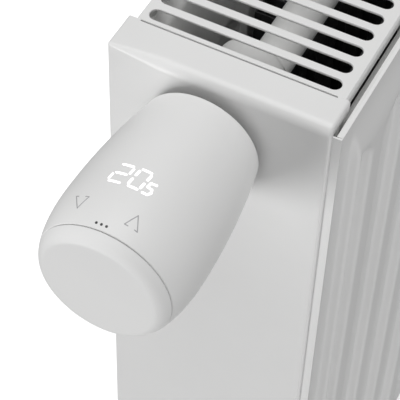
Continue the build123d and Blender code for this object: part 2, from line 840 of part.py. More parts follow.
with BuildPart() as motor:
    with BuildSketch(on_left(motor_start)):
        with Locations(motor_spot):
            Circle(motor_radius)
    extrude(amount=motor_length)
    with BuildSketch(on_left(motor_start)):
        with Locations(motor_spot):
            Circle(shaft_radius + fit_gap)
    extrude(amount=shaft_depth + 0.5, mode=Mode.SUBTRACT)
save(motor, "motor")

plunger_foot = 3.4
plunger_length = 19.5
with BuildPart() as plunger:
    with BuildSketch(on_left(stem_rest + fit_gap)):
        Circle(plunger_radius)
    extrude(amount=plunger_foot)
    with BuildSketch(on_left(stem_rest + fit_gap)):
        Circle(plunger_shaft)
    extrude(amount=plunger_length - fit_gap)
save(plunger, "plunger")

gear_plate_radius = 24.5
screw_radius = 1.05
screw_hole = 1.1
screw_post = 2.4
screw_head = 2.0
with BuildPart() as gear_plate:
    with BuildSketch(on_left(plate_start)):
        Circle(gear_plate_radius)
        Circle(plunger_shaft + 0.5, mode=Mode.SUBTRACT)
        with Locations(axle_spot):
            Circle(axle_radius + close_gap, mode=Mode.SUBTRACT)
        with Locations(motor_spot):
            Circle(2, mode=Mode.SUBTRACT)
        with Locations(*screw_spots):
            Circle(screw_hole, mode=Mode.SUBTRACT)
    extrude(amount=plate_end - plate_start)
    with BuildSketch(on_left(base_wall_start + base_wall)):
        with Locations(*screw_spots):
            Circle(screw_post)
            Circle(screw_hole, mode=Mode.SUBTRACT)
    extrude(amount=plate_start - base_wall_start - base_wall)
save(gear_plate, "gear_plate")

with BuildPart() as plate_screws:
    for spot in screw_spots:
        with BuildSketch(on_left(plate_end)):
            with Locations(spot):
                Circle(screw_head)
        extrude(amount=1.4)
        with BuildSketch(on_left(base_wall_start + base_wall + end_play)):
            with Locations(spot):
                Circle(screw_radius)
        extrude(amount=plate_end - base_wall_start - base_wall - end_play)
save(plate_screws, "plate_screws")

# ---------------------------------------------------------------- thermostat head: electronics
cell_radius = 7.25
cell_length = 50.0
cell_start = 29.3
cell_drop = 8.0
cell_spots = [(7.7, -cell_drop), (-7.7, -cell_drop)]
cell_button = 1.2
contact_sheet = 0.6
tray_width = 28.0
tray_height = 8.4
tray_drop = 13.4
with BuildPart() as battery_tray:
    with BuildSketch(on_left(motor_start)):
        with Locations((0, -tray_drop)):
            Rectangle(tray_width, tray_height)
        with Locations(*cell_spots):
            Circle(cell_radius + end_play, mode=Mode.SUBTRACT)
        with Locations((0, -19)):
            Rectangle(40, 4, mode=Mode.SUBTRACT)
    extrude(amount=cell_start + cell_length - motor_start)
save(battery_tray, "battery_tray")

with BuildPart() as batteries:
    for spot in cell_spots:
        with BuildSketch(on_left(cell_start)):
            with Locations(spot):
                Circle(cell_radius)
        extrude(amount=cell_length - cell_button)
        with BuildSketch(on_left(cell_start + cell_length - cell_button)):
            with Locations(spot):
                Circle(2.7)
        extrude(amount=cell_button)
save(batteries, "batteries")

with BuildPart() as inner_contacts:
    with BuildSketch(on_left(cell_start - cell_button)):
        with Locations(*cell_spots):
            Rectangle(9, 9)
    extrude(amount=cell_button - end_play)
save(inner_contacts, "inner_contacts")

with BuildPart() as cap_contact:
    with BuildSketch(on_left(cell_start + cell_length + end_play + contact_sheet)):
        with Locations((0, -cell_drop)):
            Rectangle(24, 7)
    extrude(amount=contact_sheet)
    with BuildSketch(on_left(cell_start + cell_length + end_play)):
        with Locations(*cell_spots):
            Circle(2)
    extrude(amount=contact_sheet)
save(cap_contact, "cap_contact")

display_middle = 50.0
display_width = 20.0
display_reach = 34.0
board_radius = 21.0
board_sheet = 1.0
guide_length_x = 16.0
guide_width = 17.0
guide_height = 3.4
foil_radius = 24.9
foil_sheet = 0.3
foil_start = 61.0
foil_width = 9.0
foil_half_angle = 40.0


def display_plane(radius, out=display_middle):
    """A plane tangent to a cylinder about the valve's axis, under the lit digits."""
    across, up = head_spot(display_angle, radius)
    normal = (0, -cos(radians(display_angle)), sin(radians(display_angle)))
    return Plane(origin=(left - out, valve_y - across, valve_z + up), x_dir=(-1, 0, 0),
                 z_dir=normal)


with BuildPart() as display_board:
    with BuildSketch(display_plane(board_radius)):
        Rectangle(display_reach, display_width)
    extrude(amount=board_sheet)
save(display_board, "display_board")

with BuildPart() as light_guide:
    with BuildSketch(display_plane(board_radius + board_sheet)):
        Rectangle(guide_length_x, guide_width)
    extrude(amount=guide_height)
save(light_guide, "light_guide")

with BuildPart() as touch_sensor:
    with BuildSketch(on_left(foil_start)):
        Circle(foil_radius)
        Circle(foil_radius - foil_sheet, mode=Mode.SUBTRACT)
        with BuildLine():
            Polyline((0, 0), head_spot(display_angle - foil_half_angle, 40),
                     head_spot(display_angle, 60),
                     head_spot(display_angle + foil_half_angle, 40), close=True)
        make_face(mode=Mode.INTERSECT)
    extrude(amount=foil_width)
save(touch_sensor, "touch_sensor")

board_start = 31.0
board_length = 40.0
with BuildPart() as main_board:
    with BuildSketch(on_left(board_start)):
        with Locations((-18.4, 3)):
            Rectangle(1.2, 20)
    extrude(amount=board_length)
save(main_board, "main_board")
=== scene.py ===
import json
import math

import bmesh
import bpy
from mathutils import Matrix, Vector


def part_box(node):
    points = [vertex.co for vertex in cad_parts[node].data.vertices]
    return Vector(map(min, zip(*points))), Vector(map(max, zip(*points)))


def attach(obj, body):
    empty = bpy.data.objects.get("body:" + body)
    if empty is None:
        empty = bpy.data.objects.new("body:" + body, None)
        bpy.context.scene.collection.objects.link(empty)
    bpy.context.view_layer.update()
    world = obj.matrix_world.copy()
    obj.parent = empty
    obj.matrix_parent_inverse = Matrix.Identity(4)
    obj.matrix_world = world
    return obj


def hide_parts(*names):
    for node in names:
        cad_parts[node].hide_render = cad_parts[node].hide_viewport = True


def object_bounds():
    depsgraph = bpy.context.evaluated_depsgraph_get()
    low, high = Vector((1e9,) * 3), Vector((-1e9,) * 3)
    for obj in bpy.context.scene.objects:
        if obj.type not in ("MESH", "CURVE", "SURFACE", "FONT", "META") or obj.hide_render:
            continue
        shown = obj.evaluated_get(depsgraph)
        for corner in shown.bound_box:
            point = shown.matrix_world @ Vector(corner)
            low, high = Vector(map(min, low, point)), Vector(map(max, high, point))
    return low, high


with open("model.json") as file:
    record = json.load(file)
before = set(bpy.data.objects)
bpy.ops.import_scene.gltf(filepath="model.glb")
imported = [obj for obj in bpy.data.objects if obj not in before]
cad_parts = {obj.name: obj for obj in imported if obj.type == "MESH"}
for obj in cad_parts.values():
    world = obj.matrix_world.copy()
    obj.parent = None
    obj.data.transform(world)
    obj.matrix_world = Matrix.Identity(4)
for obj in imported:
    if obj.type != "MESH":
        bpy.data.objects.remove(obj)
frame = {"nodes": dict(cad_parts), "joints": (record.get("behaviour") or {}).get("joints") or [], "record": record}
cad_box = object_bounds()
SLOT_OF = {part["node"]: part["material_slot"] for part in frame["record"]["subparts"]}
JOINTS = {joint["name"]: joint for joint in frame["joints"]}
MM = 0.001
MICRON = 0.001 * MM
TOUCH = 1e-6   # two points this near, in metres, are in one place

# ---------------------------------------------------------------- places taken from the frame
COVER_LOW, COVER_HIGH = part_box("left_side_cover")
GRILLE_LOW, GRILLE_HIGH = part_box("top_grille")
SHELL_LOW, SHELL_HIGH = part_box("head_shell")
CAP_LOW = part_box("end_cap")[0]
HEAD_AXIS = Vector(JOINTS["drive_gear_turn"]["pos_m"])
LEFT = COVER_LOW.x
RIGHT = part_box("right_side_cover")[1].x
TOP = COVER_HIGH.z
BACK = COVER_HIGH.y
COVER_BOTTOM = COVER_LOW.z
COVER_SHEET = 1.0 * MM
SKIRT = 5.0 * MM


# ---------------------------------------------------------------- mesh helpers
def finish_mesh(name, bm, angle=35.0):
    """Turns a bmesh into an object with smooth faces and sharp edges over `angle` degrees."""
    bmesh.ops.recalc_face_normals(bm, faces=bm.faces[:])
    mesh = bpy.data.meshes.new(name)
    bm.to_mesh(mesh)
    bm.free()
    mesh.shade_smooth()
    mesh.set_sharp_from_angle(angle=math.radians(angle))
    piece = bpy.data.objects.new(name, mesh)
    bpy.context.scene.collection.objects.link(piece)
    return piece


def settle(piece, angle=35.0):
    """Applies a piece's modifiers or curve, and gives the mesh that results back to it."""
    bpy.context.view_layer.update()
    evaluated = piece.evaluated_get(bpy.context.evaluated_depsgraph_get())
    mesh = bpy.data.meshes.new_from_object(evaluated)
    name = piece.name
    bpy.data.objects.remove(piece)
    mesh.name = name
    mesh.shade_smooth()
    mesh.set_sharp_from_angle(angle=math.radians(angle))
    settled = bpy.data.objects.new(name, mesh)
    bpy.context.scene.collection.objects.link(settled)
    return settled


def place(piece, body, slot, *nodes):
    """Rides a piece on its body, hides the CAD nodes it stands for, and gives it its finish."""
    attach(piece, body)
    if nodes:
        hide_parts(*nodes)
    piece.data.materials.clear()
    piece.data.materials.append(MATERIALS[slot])


def arc(centre, radius, start, end, steps):
    """Points on an arc, in degrees, as pairs."""
    points = []
    for step in range(steps + 1):
        angle = math.radians(start + (end - start) * step / steps)
        points.append((centre[0] + radius * math.cos(angle), centre[1] + radius * math.sin(angle)))
    return points


# ---------------------------------------------------------------- materials
NOISE_LOW, NOISE_HIGH = 0.3, 0.7   # nearly all of a noise value lies between these
COAT_ROUGHNESS = 0.25
BOARD_TRACKS = 420.0               # tracks per metre across the circuit boards
TRACK_GREEN, MASK_GREEN = (0.05, 0.20, 0.09), (0.012, 0.085, 0.035)
CELL_BANDS = (                     # along a battery from its inner end: share, colour
    (0.0, (0.62, 0.62, 0.63)),     # bare metal
    (0.03, (0.035, 0.04, 0.05)),   # dark sleeve
    (0.62, (0.42, 0.40, 0.36)),    # pale ring
    (0.66, (0.16, 0.22, 0.20)),    # grey-green sleeve
    (0.955, (0.66, 0.66, 0.66)))   # bare metal


def node_material(name):
    """A new node material, with its tree, its shader and the piece's coordinates in metres."""
    material = bpy.data.materials.new(name)
    material.use_nodes = True
    tree = material.node_tree
    shader = tree.nodes["Principled BSDF"]
    place_of = tree.nodes.new("ShaderNodeTexCoord")
    return material, tree, shader, place_of.outputs["Object"]


def noise(tree, vector, scale, detail=3.0, stretch=(1.0, 1.0, 1.0)):
    """A noise value, `scale` waves per metre, drawn out along an axis by `stretch`."""
    mapping = tree.nodes.new("ShaderNodeMapping")
    mapping.inputs["Scale"].default_value = stretch
    texture = tree.nodes.new("ShaderNodeTexNoise")
    texture.inputs["Scale"].default_value = scale
    texture.inputs["Detail"].default_value = detail
    tree.links.new(vector, mapping.inputs["Vector"])
    tree.links.new(mapping.outputs["Vector"], texture.inputs["Vector"])
    return texture.outputs["Fac"]


def mixed(tree, factor, low, high, start=0.35, end=0.65):
    """A colour that runs between two colours as the factor runs from start to end."""
    ramp = tree.nodes.new("ShaderNodeValToRGB")
    ramp.color_ramp.elements[0].position = start
    ramp.color_ramp.elements[0].color = (*low, 1)
    ramp.color_ramp.elements[1].position = end
    ramp.color_ramp.elements[1].color = (*high, 1)
    tree.links.new(factor, ramp.inputs["Fac"])
    return ramp.outputs["Color"]


def ranged(tree, factor, low, high):
    """A noise value spread over low to high."""
    spread = tree.nodes.new("ShaderNodeMapRange")
    spread.inputs["From Min"].default_value = NOISE_LOW
    spread.inputs["From Max"].default_value = NOISE_HIGH
    spread.inputs["To Min"].default_value = low
    spread.inputs["To Max"].default_value = high
    tree.links.new(factor, spread.inputs["Value"])
    return spread.outputs["Result"]


def relief(tree, shader, factor, depth):
    """Bumps the surface by the factor, `depth` metres high."""
    bump = tree.nodes.new("ShaderNodeBump")
    bump.inputs["Strength"].default_value = 1.0
    bump.inputs["Distance"].default_value = depth
    tree.links.new(factor, bump.inputs["Height"])
    tree.links.new(bump.outputs["Normal"], shader.inputs["Normal"])


def textured(name, low, high, rough, grain, depth, patch=18.0, metallic=0.0,
             stretch=(1.0, 1.0, 1.0), coat=0.0, specular=0.5):
    """A surface with faint colour patches, uneven gloss and a fine relief of its own scale."""
    material, tree, shader, vector = node_material(name)
    patches = noise(tree, vector, patch, detail=4.0)
    fine = noise(tree, vector, grain, detail=2.0, stretch=stretch)
    tree.links.new(mixed(tree, patches, low, high), shader.inputs["Base Color"])
    tree.links.new(ranged(tree, fine, *rough), shader.inputs["Roughness"])
    relief(tree, shader, fine, depth)
    shader.inputs["Metallic"].default_value = metallic
    shader.inputs["Coat Weight"].default_value = coat
    shader.inputs["Coat Roughness"].default_value = COAT_ROUGHNESS
    shader.inputs["Specular IOR Level"].default_value = specular
    return material


def enamel():
    """Stoved white enamel with the faint orange peel of powder coating."""
    return textured("enamel", (0.86, 0.86, 0.855), (0.885, 0.885, 0.88), (0.34, 0.42),
                    grain=700.0, depth=6 * MICRON, patch=14.0)


def inner_enamel():
    """Thin overspray and primer inside the panels, duller and less even."""
    return textured("inner_enamel", (0.80, 0.80, 0.79), (0.87, 0.87, 0.86), (0.38, 0.5),
                    grain=500.0, depth=10 * MICRON, patch=30.0)


def fin_painted_shade():
    """The convector fins in near-black: painted shade for the shadow deep inside the panels, under the grille's
    slots.
    """
    return textured("fin_painted_shade", (0.030, 0.030, 0.031), (0.075, 0.075, 0.078), (0.5, 0.7),
                    grain=500.0, depth=10 * MICRON, patch=40.0)


def head_plastic():
    """White moulded plastic with a fine spark-eroded grain."""
    return textured("head_plastic", (0.88, 0.88, 0.875), (0.90, 0.90, 0.895), (0.42, 0.5),
                    grain=3200.0, depth=4 * MICRON, patch=22.0, specular=0.4)


def cap_plastic():
    """The end cap's plastic: the same colour with a slightly finer, duller face."""
    return textured("cap_plastic", (0.865, 0.865, 0.862), (0.885, 0.885, 0.88), (0.48, 0.56),
                    grain=4200.0, depth=4 * MICRON, patch=22.0, specular=0.4)


def inner_plastic():
    """Dark moulded plastic of the parts inside the head."""
    return textured("inner_plastic", (0.085, 0.09, 0.10), (0.11, 0.115, 0.125), (0.45, 0.6),
                    grain=2600.0, depth=10 * MICRON)


def clip_plastic():
    """Pale moulded plastic of clips and rings."""
    return textured("clip_plastic", (0.70, 0.70, 0.69), (0.76, 0.76, 0.75), (0.4, 0.5),
                    grain=2400.0, depth=8 * MICRON)


def gear_plastic():
    """Cream acetal with a waxy gloss."""
    return textured("gear_plastic", (0.72, 0.69, 0.60), (0.78, 0.75, 0.67), (0.28, 0.38),
                    grain=1800.0, depth=5 * MICRON, coat=0.15)


def guide_plastic():
    """Milky diffuser plastic."""
    return textured("guide_plastic", (0.86, 0.87, 0.88), (0.92, 0.93, 0.94), (0.12, 0.2),
                    grain=900.0, depth=3 * MICRON, coat=0.3)


def nickel():
    """Satin nickel plate over turned brass."""
    return textured("nickel", (0.62, 0.60, 0.57), (0.70, 0.685, 0.66), (0.2, 0.32),
                    grain=1500.0, depth=4 * MICRON, metallic=1.0, stretch=(0.15, 1.0, 1.0))


def brass():
    """Turned brass with fine tool marks round the axis."""
    return textured("brass", (0.66, 0.47, 0.19), (0.78, 0.60, 0.29), (0.18, 0.3),
                    grain=1700.0, depth=5 * MICRON, metallic=1.0, stretch=(1.0, 0.15, 0.15))


def steel():
    """Zinc-plated steel, brushed along the radiator."""
    return textured("steel", (0.50, 0.50, 0.51), (0.62, 0.62, 0.63), (0.26, 0.4),
                    grain=1600.0, depth=5 * MICRON, metallic=1.0, stretch=(0.12, 1.0, 1.0))


def copper():
    """Thin copper foil."""
    return textured("copper", (0.72, 0.38, 0.24), (0.84, 0.50, 0.34), (0.22, 0.36),
                    grain=1200.0, depth=6 * MICRON, metallic=1.0)


def rubber():
    """Moulded black rubber with a dusty bloom."""
    return textured("rubber", (0.018, 0.018, 0.018), (0.045, 0.044, 0.042), (0.6, 0.8),
                    grain=1500.0, depth=20 * MICRON, patch=120.0)


def board():
    """Green solder mask over a net of copper tracks."""
    material, tree, shader, vector = node_material("board")
    tracks = tree.nodes.new("ShaderNodeTexVoronoi")
    tracks.feature = "DISTANCE_TO_EDGE"
    tracks.inputs["Scale"].default_value = BOARD_TRACKS
    tree.links.new(vector, tracks.inputs["Vector"])
    colour = mixed(tree, tracks.outputs["Distance"], TRACK_GREEN, MASK_GREEN,
                   start=0.03, end=0.09)
    tree.links.new(colour, shader.inputs["Base Color"])
    fine = noise(tree, vector, 1400.0)
    tree.links.new(ranged(tree, fine, 0.25, 0.38), shader.inputs["Roughness"])
    relief(tree, shader, tracks.outputs["Distance"], 20 * MICRON)
    return material


def cell():
    """A battery's sleeve and its bare metal ends, in bands along the cell."""
    material, tree, shader, vector = node_material("cell")
    low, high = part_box("batteries")
    split = tree.nodes.new("ShaderNodeSeparateXYZ")
    along = tree.nodes.new("ShaderNodeMapRange")
    along.inputs["From Min"].default_value = high.x
    along.inputs["From Max"].default_value = low.x
    tree.links.new(vector, split.inputs["Vector"])
    tree.links.new(split.outputs["X"], along.inputs["Value"])
    bands = tree.nodes.new("ShaderNodeValToRGB")
    bands.color_ramp.interpolation = "CONSTANT"
    stops = bands.color_ramp.elements
    for index, (position, colour) in enumerate(CELL_BANDS):
        stop = stops[index] if index < 2 else stops.new(position)
        stop.position = position
        stop.color = (*colour, 1)
    tree.links.new(along.outputs["Result"], bands.inputs["Fac"])
    tree.links.new(bands.outputs["Color"], shader.inputs["Base Color"])
    fine = noise(tree, vector, 900.0)
    tree.links.new(ranged(tree, fine, 0.22, 0.34), shader.inputs["Roughness"])
    relief(tree, shader, fine, 4 * MICRON)
    shader.inputs["Metallic"].default_value = 0.4
    return material


def lit_segment():
    """Light from a segment, a little uneven where it shines through the plastic."""
    material, tree, shader, vector = node_material("lit_segment")
    glow = noise(tree, vector, 260.0, detail=1.0)
    tree.links.new(mixed(tree, glow, (0.93, 0.94, 0.95), (1.0, 1.0, 1.0)),
                   shader.inputs["Emission Color"])
    shader.inputs["Emission Strength"].default_value = 1.1
    shader.inputs["Base Color"].default_value = (0.9, 0.9, 0.9, 1)
    shader.inputs["Roughness"].default_value = 0.5
    return material


def ink(name, dark, pale):
    """Printed ink, a little uneven."""
    return textured(name, dark, pale, (0.45, 0.6), grain=2500.0, depth=3 * MICRON, patch=900.0)


MATERIALS = {make.__name__: make() for make in (
    enamel, inner_enamel, head_plastic, cap_plastic, inner_plastic, clip_plastic, gear_plastic,
    guide_plastic, nickel, brass, steel, copper, rubber, board, cell)}
LIT = lit_segment()
PALE_INK = ink("pale_ink", (0.40, 0.40, 0.41), (0.46, 0.46, 0.47))
DARK_INK = ink("dark_ink", (0.03, 0.03, 0.03), (0.06, 0.06, 0.06))
FIN_PAINTED_SHADE = fin_painted_shade()

# the fins get the near-black painted shade that stands for the shadow deep under the slots
for node_name, node_object in frame["nodes"].items():
    is_fin = node_name in ("front_convector", "rear_convector")
    node_object.data.materials.clear()
    node_object.data.materials.append(FIN_PAINTED_SHADE if is_fin else MATERIALS[SLOT_OF[node_name]])


# ---------------------------------------------------------------- pressed panel sheets
PITCH = 100.0 / 3 * MM      # from waterway to waterway
RISE = 4.1 * MM             # of the waterways over the welded seam
SHEET = 1.2 * MM
RIM = 8.0 * MM              # flat seam at the left and right edges
FORM_MARGIN = 2.5 * MM      # flat seam at the top and bottom edges
SIDE_SLOPE = 4.2 * MM
VALLEY = 25.0 * MM          # width of the valley between two waterways
SHOWN_FORM = {"end_slope": 20.0 * MM, "valley_inset": 18.0 * MM,
              "x_step": 1.05 * MM, "z_step": 2.4 * MM}
PLAIN_FORM = {"end_slope": 4.2 * MM, "valley_inset": 52.0 * MM,
              "x_step": 1.4 * MM, "z_step": 2.8 * MM}


def ease(value):
    """A smooth step from 0 to 1."""
    value = min(1.0, max(0.0, value))
    return value * value * (3 - 2 * value)


def panel_sheet(node, end_slope, valley_inset, x_step, z_step):
    """A water panel's sheet with soft raised waterways, built over the CAD sheet's own box."""
    low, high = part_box(node)
    outwards = -1 if node in ("front_outer_sheet", "rear_inner_sheet") else 1
    seam = high.y if outwards < 0 else low.y
    form_low, form_high = low.z + FORM_MARGIN, high.z - FORM_MARGIN
    middle = (form_low + form_high) / 2
    half_valley = (form_high - form_low) / 2 - valley_inset
    half_length = (high.x - low.x) / 2
    last_waterway = (round(2 * half_length / PITCH) - 1) * PITCH / 2

    def rise(x, z):
        """The form's height: full on waterways and past the last one, none in a valley."""
        side = ease((half_length - RIM - abs(x)) / SIDE_SLOPE)
        end = ease(min(z - form_low, form_high - z) / end_slope)
        if abs(x) > last_waterway:
            return RISE * side * end
        from_valley = abs((x / PITCH + 0.5) % 1.0 - 0.5) * PITCH
        past_end = max(0.0, abs(z - middle) - half_valley + VALLEY / 2)
        inside = VALLEY / 2 - math.hypot(from_valley, past_end)
        return RISE * side * end * (1 - ease(inside / SIDE_SLOPE))

    columns = round(2 * half_length / x_step)
    rows = round((high.z - low.z) / z_step)
    bm = bmesh.new()
    skins = []
    for skin in (SHEET, 0.0):
        grid = []
        for column in range(columns + 1):
            x = -half_length + 2 * half_length * column / columns
            line = []
            for row in range(rows + 1):
                z = low.z + (high.z - low.z) * row / rows
                line.append(bm.verts.new((x, seam + outwards * (rise(x, z) + skin), z)))
            grid.append(line)
        skins.append(grid)
        for column in range(columns):
            for row in range(rows):
                bm.faces.new((grid[column][row], grid[column + 1][row],
                              grid[column + 1][row + 1], grid[column][row + 1]))
    outer, inner = skins
    for row in range(rows):
        for column in (0, columns):
            bm.faces.new((outer[column][row], outer[column][row + 1],
                          inner[column][row + 1], inner[column][row]))
    for column in range(columns):
        for row in (0, rows):
            bm.faces.new((outer[column][row], outer[column + 1][row],
                          inner[column + 1][row], inner[column][row]))
    return finish_mesh(node + "_pressed", bm, angle=50.0)


for sheet_node, form in (("front_outer_sheet", SHOWN_FORM), ("rear_outer_sheet", PLAIN_FORM),
                         ("front_inner_sheet", PLAIN_FORM), ("rear_inner_sheet", PLAIN_FORM)):
    pressed = panel_sheet(sheet_node, **form)
    place(pressed, "radiator", SLOT_OF[sheet_node], sheet_node)

# ---------------------------------------------------------------- top grille
SLOT_PITCH = 9.5 * MM
SLOT_WIDTH = 5.8 * MM
SLOT_COUNT = 49
SLOT_REAR = BACK - 6.4 * MM
SLOT_FRONT = -93.3 * MM
GRILLE_SHEET = 1.3 * MM
GRILLE_ROUND = 0.45 * MM
SKIRT_BEND = 1.5 * MM
BEND_STEPS = 6
SLOT_END_STEPS = 10


def cyclic_spline(curve, points):
    """Adds a closed straight-sided outline to a flat curve."""
    spline = curve.splines.new("POLY")
    spline.points.add(len(points) - 1)
    for point, (x, y) in zip(spline.points, points):
        point.co = (x, y, 0, 1)
    spline.use_cyclic_u = True


def stadium(x, low, high, width):
    """The outline of a slot along Y with round ends."""
    half = width / 2
    return (arc((x, high - half), half, 0, 180, SLOT_END_STEPS)
            + arc((x, low + half), half, 180, 360, SLOT_END_STEPS))


def slotted_top():
    """The grille's slotted top, with the rolled edges that pressing leaves."""
    curve = bpy.data.curves.new("top_grille_slats", "CURVE")
    curve.dimensions = "2D"
    curve.fill_mode = "BOTH"
    low_x, high_x = GRILLE_LOW.x, GRILLE_HIGH.x
    low_y, high_y = GRILLE_LOW.y + GRILLE_ROUND, GRILLE_HIGH.y - GRILLE_ROUND
    cyclic_spline(curve, [(low_x, low_y), (high_x, low_y), (high_x, high_y), (low_x, high_y)])
    for slot in range(SLOT_COUNT):
        x = (slot - (SLOT_COUNT - 1) / 2) * SLOT_PITCH
        cyclic_spline(curve, stadium(x, SLOT_FRONT, SLOT_REAR, SLOT_WIDTH))
    curve.offset = -GRILLE_ROUND
    curve.extrude = GRILLE_SHEET / 2 - GRILLE_ROUND
    curve.bevel_depth = GRILLE_ROUND
    curve.bevel_resolution = 3
    piece = bpy.data.objects.new("top_grille_slats", curve)
    bpy.context.scene.collection.objects.link(piece)
    piece.location.z = TOP - GRILLE_SHEET / 2
    settled = settle(piece)
    settled.data.transform(Matrix.Translation((0, 0, TOP - GRILLE_SHEET / 2)))
    return settled


place(slotted_top(), "radiator", "enamel", "top_grille")


def swept(name, outline, start, end):
    """A closed outline of (y, z) pairs, drawn out along X from start to end."""
    bm = bmesh.new()
    rings = [[bm.verts.new((x, y, z)) for y, z in outline] for x in (start, end)]
    for ring in rings:
        bm.faces.new(ring)
    count = len(outline)
    for index in range(count):
        after = (index + 1) % count
        bm.faces.new((rings[0][index], rings[0][after], rings[1][after], rings[1][index]))
    return finish_mesh(name, bm, angle=40.0)


def skirt_outline(edge, towards):
    """A rolled edge that turns from the grille's top down into a skirt; towards is +1 or -1."""
    centre = (edge - towards * SKIRT_BEND, TOP - SKIRT_BEND)
    level, upright = 90, 90 - towards * 90
    outside = arc(centre, SKIRT_BEND, level, upright, BEND_STEPS)
    inside = arc(centre, SKIRT_BEND - COVER_SHEET, upright, level, BEND_STEPS)
    foot = [(edge, TOP - SKIRT), (edge - towards * COVER_SHEET, TOP - SKIRT)]
    return outside + foot + inside


for skirt_name, edge, towards in (("front_grille_skirt", GRILLE_LOW.y, -1),
                                  ("rear_grille_skirt", GRILLE_HIGH.y, 1)):
    skirt = swept(skirt_name, skirt_outline(edge, towards), GRILLE_LOW.x, GRILLE_HIGH.x)
    place(skirt, "radiator", "enamel", "top_grille")


# ---------------------------------------------------------------- side covers
COVER_FRONT = -99.2 * MM
LIP_STEP = 2.0 * MM
LIP_FRONT = COVER_LOW.y
FLANGE = GRILLE_LOW.x - LEFT
RETURN = 7.0 * MM
TOP_FOLD = 4.5 * MM
REAR_FOLD = 1.2 * MM
FRONT_FOLD = 1.4 * MM
FOLD_EASE = 22.0 * MM       # the top fold narrows towards the back over this length
NECK_HOLE = 19.0 * MM       # radius of the hole round the valve's neck
PLUG_HOLE = 17.0 * MM       # radius of the holes round the plugs
NOTCH_WIDTH = 1.6 * MM
NOTCH_PAST_SLOTS = 2.0 * MM
CUT_DEPTH = 4.0 * MM        # more than the sheet, so that a cutter goes right through


def edges_on(bm, *tests):
    """The edges whose both ends pass every test."""
    return [e for e in bm.edges if all(test(v.co) for v in e.verts for test in tests)]


def near(axis, value):
    """A test that a point lies on the plane where its coordinate on `axis` is `value`."""
    return lambda co: abs(co[axis] - value) < TOUCH


def cut(bm, axis, value):
    """Cuts every face along the plane where the coordinate on `axis` is `value`."""
    normal = [0, 0, 0]
    normal[axis] = 1
    point = [0, 0, 0]
    point[axis] = value
    bmesh.ops.bisect_plane(bm, geom=bm.verts[:] + bm.edges[:] + bm.faces[:], plane_co=point,
                           plane_no=normal, dist=1e-7)


def delete_faces(bm, test):
    """Deletes the faces whose middle passes the test."""
    faces = [f for f in bm.faces if test(f.calc_center_median())]
    bmesh.ops.delete(bm, geom=faces, context="FACES")


def cover_surface():
    """The left cover's outer surface: wall, rolled edges, rear return, flange and front lip."""
    inner = LEFT + FLANGE
    bm = bmesh.new()
    middle = ((LEFT + inner) / 2, (BACK + COVER_FRONT) / 2, (TOP + COVER_BOTTOM) / 2)
    size = (FLANGE, BACK - COVER_FRONT, TOP - COVER_BOTTOM, 1)
    bmesh.ops.create_cube(bm, size=1.0, matrix=Matrix.Translation(middle) @ Matrix.Diagonal(size))
    bmesh.ops.bevel(bm, geom=edges_on(bm, near(0, LEFT), near(2, TOP)), offset=TOP_FOLD,
                    segments=10, affect="EDGES", profile=0.5)
    cut(bm, 1, BACK - FOLD_EASE)
    at_back = near(1, BACK)
    at_front = near(1, COVER_FRONT)
    at_bottom = near(2, COVER_BOTTOM)
    at_grille = near(0, inner)

    def on_top_fold(co):
        return co.x < LEFT + TOP_FOLD + TOUCH and co.z > TOP - TOP_FOLD - TOUCH

    def off_grille_edge(co):
        return co.x < inner - TOUCH or co.z > TOP - TOUCH

    def off_bottom_edge(co):
        return co.z > COVER_BOTTOM + TOUCH or co.x < LEFT + TOUCH

    def below_skirt(co):
        return co.z < TOP - SKIRT

    def on_lip_height(co):
        return co.z < TOP - SKIRT + TOUCH

    for vert in bm.verts:
        if at_back(vert.co) and on_top_fold(vert.co):
            share = REAR_FOLD / TOP_FOLD
            vert.co.x = LEFT + (vert.co.x - LEFT) * share
            vert.co.z = TOP + (vert.co.z - TOP) * share
    for plane, radius in ((COVER_FRONT, FRONT_FOLD), (BACK, REAR_FOLD)):
        rim = [e for e in edges_on(bm, near(1, plane), off_grille_edge, off_bottom_edge)
               if not all(at_bottom(v.co) for v in e.verts)
               and not all(at_grille(v.co) for v in e.verts)]
        bmesh.ops.bevel(bm, geom=rim, offset=radius, segments=5, affect="EDGES", profile=0.5)
    cut(bm, 0, LEFT + LIP_STEP)
    cut(bm, 0, LEFT + RETURN)
    cut(bm, 2, TOP - SKIRT)
    delete_faces(bm, at_grille)
    delete_faces(bm, at_bottom)
    delete_faces(bm, lambda co: at_front(co) and co.x > LEFT + LIP_STEP and below_skirt(co))
    delete_faces(bm, lambda co: at_back(co) and co.x > LEFT + RETURN and below_skirt(co))
    lip_edges = [e for e in edges_on(bm, near(0, LEFT + LIP_STEP), at_front, on_lip_height)
                 if len(e.link_faces) == 1]
    grown = bmesh.ops.extrude_edge_only(bm, edges=lip_edges)["geom"]
    for vert in (v for v in grown if isinstance(v, bmesh.types.BMVert)):
        vert.co.y = LIP_FRONT
    return bm


